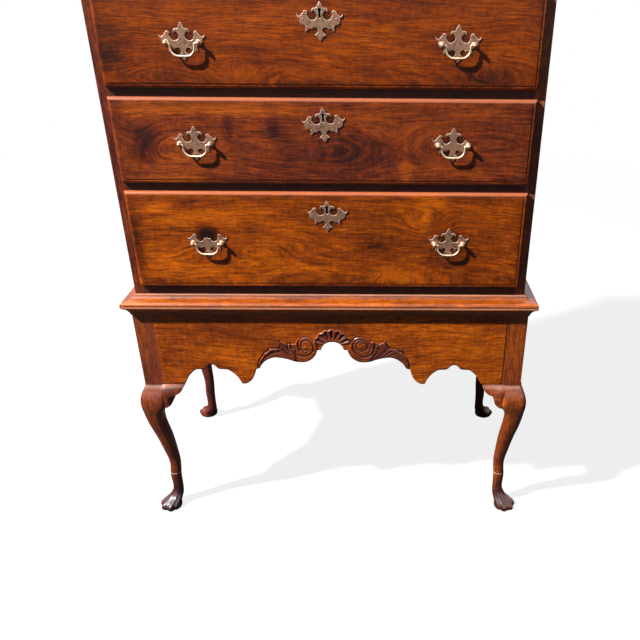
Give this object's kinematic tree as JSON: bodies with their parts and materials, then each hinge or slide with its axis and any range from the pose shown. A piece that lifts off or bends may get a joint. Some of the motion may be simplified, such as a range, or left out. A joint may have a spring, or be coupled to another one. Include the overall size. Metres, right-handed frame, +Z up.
{
  "type": "highboy",
  "caption": "Walnut high chest of lipped drawers on a low frame with cabriole legs, three-toed feet, scalloped carved apron and pierced brass bail pulls.",
  "frame": {"origin": "bottom centre of the bounding box, on the floor", "axes": "+Z up, -Y towards the drawer fronts, +X to the right of someone facing them"},
  "size_m": [1.045, 0.5534, 1.702],
  "materials": {
    "walnut": "polished old varnish with strong figure",
    "secondary_wood": "unfinished, planed and darkened with age",
    "brass": "aged, with bright rubbed edges"
  },
  "bodies": {
    "chest": {"back_rail": "secondary_wood", "backboards": "secondary_wood", "bottom_rail": "walnut", "case_bottom": "secondary_wood", "case_side_left": "walnut", "case_side_right": "walnut", "case_top": "walnut", "corner_blocks": "secondary_wood", "cornice_front": "walnut", "cornice_left": "walnut", "cornice_right": "walnut", "drawer_blades": "walnut", "drawer_runners": "secondary_wood", "front_apron": "walnut", "knee_returns_front": "walnut", "knee_returns_sides": "walnut", "leg_front_left": "walnut", "leg_front_right": "walnut", "leg_rear_left": "walnut", "leg_rear_right": "walnut", "short_drawer_partitions": "walnut", "side_apron_left": "walnut", "side_apron_right": "walnut", "top_rail": "walnut", "waist_moulding_front": "walnut", "waist_moulding_left": "walnut", "waist_moulding_right": "walnut"},
    "long_drawer_1": {"long_drawer_1_front": "walnut", "long_drawer_1_box": "secondary_wood", "long_drawer_1_hardware": "brass"},
    "long_drawer_1_bail_left": {"long_drawer_1_bail_left": "brass"},
    "long_drawer_1_bail_right": {"long_drawer_1_bail_right": "brass"},
    "long_drawer_2": {"long_drawer_2_front": "walnut", "long_drawer_2_box": "secondary_wood", "long_drawer_2_hardware": "brass"},
    "long_drawer_2_bail_left": {"long_drawer_2_bail_left": "brass"},
    "long_drawer_2_bail_right": {"long_drawer_2_bail_right": "brass"},
    "long_drawer_3": {"long_drawer_3_front": "walnut", "long_drawer_3_box": "secondary_wood", "long_drawer_3_hardware": "brass"},
    "long_drawer_3_bail_left": {"long_drawer_3_bail_left": "brass"},
    "long_drawer_3_bail_right": {"long_drawer_3_bail_right": "brass"},
    "long_drawer_4": {"long_drawer_4_front": "walnut", "long_drawer_4_box": "secondary_wood", "long_drawer_4_hardware": "brass"},
    "long_drawer_4_bail_left": {"long_drawer_4_bail_left": "brass"},
    "long_drawer_4_bail_right": {"long_drawer_4_bail_right": "brass"},
    "short_drawer_left": {"short_drawer_left_front": "walnut", "short_drawer_left_box": "secondary_wood", "short_drawer_left_hardware": "brass"},
    "short_drawer_left_bail": {"short_drawer_left_bail": "brass"},
    "short_drawer_middle": {"short_drawer_middle_front": "walnut", "short_drawer_middle_box": "secondary_wood", "short_drawer_middle_hardware": "brass"},
    "short_drawer_middle_bail": {"short_drawer_middle_bail": "brass"},
    "short_drawer_right": {"short_drawer_right_front": "walnut", "short_drawer_right_box": "secondary_wood", "short_drawer_right_hardware": "brass"},
    "short_drawer_right_bail": {"short_drawer_right_bail": "brass"}
  },
  "joints": [
    {"name": "long_drawer_1_slide", "type": "slide", "parent": "chest", "child": "long_drawer_1", "axis": [0, -1, 0], "range_m": [0, 0.34]},
    {"name": "long_drawer_1_bail_left_swing", "type": "hinge", "parent": "long_drawer_1", "child": "long_drawer_1_bail_left", "pos_m": [-0.277, -0.24671, 0.7895], "axis": [-1, 0, 0], "range_deg": [-10, 150]},
    {"name": "long_drawer_1_bail_right_swing", "type": "hinge", "parent": "long_drawer_1", "child": "long_drawer_1_bail_right", "pos_m": [0.277, -0.24671, 0.7895], "axis": [-1, 0, 0], "range_deg": [-10, 150]},
    {"name": "long_drawer_2_slide", "type": "slide", "parent": "chest", "child": "long_drawer_2", "axis": [0, -1, 0], "range_m": [0, 0.34]},
    {"name": "long_drawer_2_bail_left_swing", "type": "hinge", "parent": "long_drawer_2", "child": "long_drawer_2_bail_left", "pos_m": [-0.277, -0.24671, 1.0115], "axis": [-1, 0, 0], "range_deg": [-10, 150]},
    {"name": "long_drawer_2_bail_right_swing", "type": "hinge", "parent": "long_drawer_2", "child": "long_drawer_2_bail_right", "pos_m": [0.277, -0.24671, 1.0115], "axis": [-1, 0, 0], "range_deg": [-10, 150]},
    {"name": "long_drawer_3_slide", "type": "slide", "parent": "chest", "child": "long_drawer_3", "axis": [0, -1, 0], "range_m": [0, 0.34]},
    {"name": "long_drawer_3_bail_left_swing", "type": "hinge", "parent": "long_drawer_3", "child": "long_drawer_3_bail_left", "pos_m": [-0.277, -0.24671, 1.21], "axis": [-1, 0, 0], "range_deg": [-10, 150]},
    {"name": "long_drawer_3_bail_right_swing", "type": "hinge", "parent": "long_drawer_3", "child": "long_drawer_3_bail_right", "pos_m": [0.277, -0.24671, 1.21], "axis": [-1, 0, 0], "range_deg": [-10, 150]},
    {"name": "long_drawer_4_slide", "type": "slide", "parent": "chest", "child": "long_drawer_4", "axis": [0, -1, 0], "range_m": [0, 0.34]},
    {"name": "long_drawer_4_bail_left_swing", "type": "hinge", "parent": "long_drawer_4", "child": "long_drawer_4_bail_left", "pos_m": [-0.277, -0.24671, 1.3955], "axis": [-1, 0, 0], "range_deg": [-10, 150]},
    {"name": "long_drawer_4_bail_right_swing", "type": "hinge", "parent": "long_drawer_4", "child": "long_drawer_4_bail_right", "pos_m": [0.277, -0.24671, 1.3955], "axis": [-1, 0, 0], "range_deg": [-10, 150]},
    {"name": "short_drawer_left_slide", "type": "slide", "parent": "chest", "child": "short_drawer_left", "axis": [0, -1, 0], "range_m": [0, 0.34]},
    {"name": "short_drawer_left_bail_swing", "type": "hinge", "parent": "short_drawer_left", "child": "short_drawer_left_bail", "pos_m": [-0.305, -0.24671, 1.5545], "axis": [-1, 0, 0], "range_deg": [-10, 150]},
    {"name": "short_drawer_middle_slide", "type": "slide", "parent": "chest", "child": "short_drawer_middle", "axis": [0, -1, 0], "range_m": [0, 0.34]},
    {"name": "short_drawer_middle_bail_swing", "type": "hinge", "parent": "short_drawer_middle", "child": "short_drawer_middle_bail", "pos_m": [0, -0.24671, 1.5545], "axis": [-1, 0, 0], "range_deg": [-10, 150]},
    {"name": "short_drawer_right_slide", "type": "slide", "parent": "chest", "child": "short_drawer_right", "axis": [0, -1, 0], "range_m": [0, 0.34]},
    {"name": "short_drawer_right_bail_swing", "type": "hinge", "parent": "short_drawer_right", "child": "short_drawer_right_bail", "pos_m": [0.305, -0.24671, 1.5545], "axis": [-1, 0, 0], "range_deg": [-10, 150]}
  ]
}
